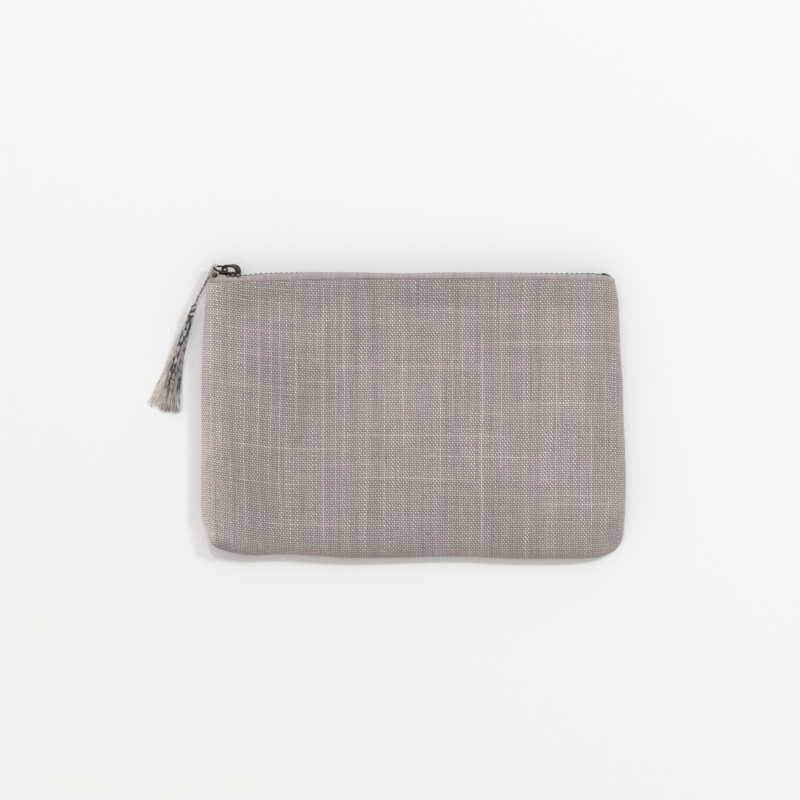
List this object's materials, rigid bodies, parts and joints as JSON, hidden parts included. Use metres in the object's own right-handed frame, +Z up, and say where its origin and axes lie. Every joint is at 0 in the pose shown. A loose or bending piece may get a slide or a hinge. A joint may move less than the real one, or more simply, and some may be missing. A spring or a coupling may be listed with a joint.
{
  "type": "zip pouch",
  "caption": "Flat lined zip pouch in slubbed grey linen with a metal toothed zip along the top edge, a slider with a ring pull and a yarn tassel.",
  "frame": {"origin": "centre of the pouch on the surface it lies on", "axes": "+X along the zip from the closed end to the open end, +Y from the hem to the mouth, +Z up from the back panel to the front panel"},
  "size_m": [0.234, 0.1453, 0.0137],
  "materials": {
    "linen": "plain-woven slubbed linen, undyed warm grey",
    "lining": "plain cotton lining",
    "zip_tape": "close-woven twill zip tape",
    "zip_metal": "antique gunmetal plating, worn bright on the high edges",
    "dark_yarn": "plied charcoal yarn",
    "grey_yarn": "plied grey yarn",
    "beige_yarn": "plied beige yarn"
  },
  "bodies": {
    "back": {"back_panel": "linen", "back_lining": "lining", "back_zip_tape": "zip_tape", "back_teeth": "zip_metal", "back_top_stop": "zip_metal", "bottom_stop": "zip_metal"},
    "front": {"front_panel": "linen", "front_lining": "lining", "front_zip_tape": "zip_tape", "front_teeth": "zip_metal", "front_top_stop": "zip_metal"},
    "slider": {"slider_body": "zip_metal", "slider_crown": "zip_metal"},
    "pull": {"pull_ring": "zip_metal"},
    "tassel": {"cord_loop": "dark_yarn", "cord_knot": "dark_yarn", "tassel_cord": "dark_yarn", "tassel_head": "grey_yarn", "beige_yarn": "beige_yarn", "dark_yarn": "dark_yarn", "grey_yarn": "grey_yarn"}
  },
  "joints": [
    {"name": "slider_slide", "type": "slide", "parent": "back", "child": "slider", "axis": [1, 0, 0], "range_m": [0, 0.1775], "deforming": ["front_teeth", "back_teeth", "cord_loop", "cord_knot", "tassel_cord", "tassel_head", "beige_yarn", "dark_yarn", "grey_yarn"]},
    {"name": "mouth_open", "type": "hinge", "parent": "back", "child": "front", "pos_m": [0, -0.07243, 0.0046], "axis": [1, 0, 0], "range_deg": [0, 15.2]},
    {"name": "pull_swing", "type": "hinge", "parent": "slider", "child": "pull", "pos_m": [-0.091, 0.07047, 0.0062], "axis": [0, 0, 1], "range_deg": [-130, 0]},
    {"name": "tassel_trail", "type": "hinge", "parent": "pull", "child": "tassel", "pos_m": [-0.09757, 0.07105, 0.0062], "axis": [0, 0, 1], "range_deg": [-95.5, 0]}
  ],
  "couplings": [
    {"joint": "mouth_open", "follows": "slider_slide", "rad_per_m": 1.4749},
    {"joint": "tassel_trail", "follows": "slider_slide", "rad_per_m": -9.3412}
  ]
}
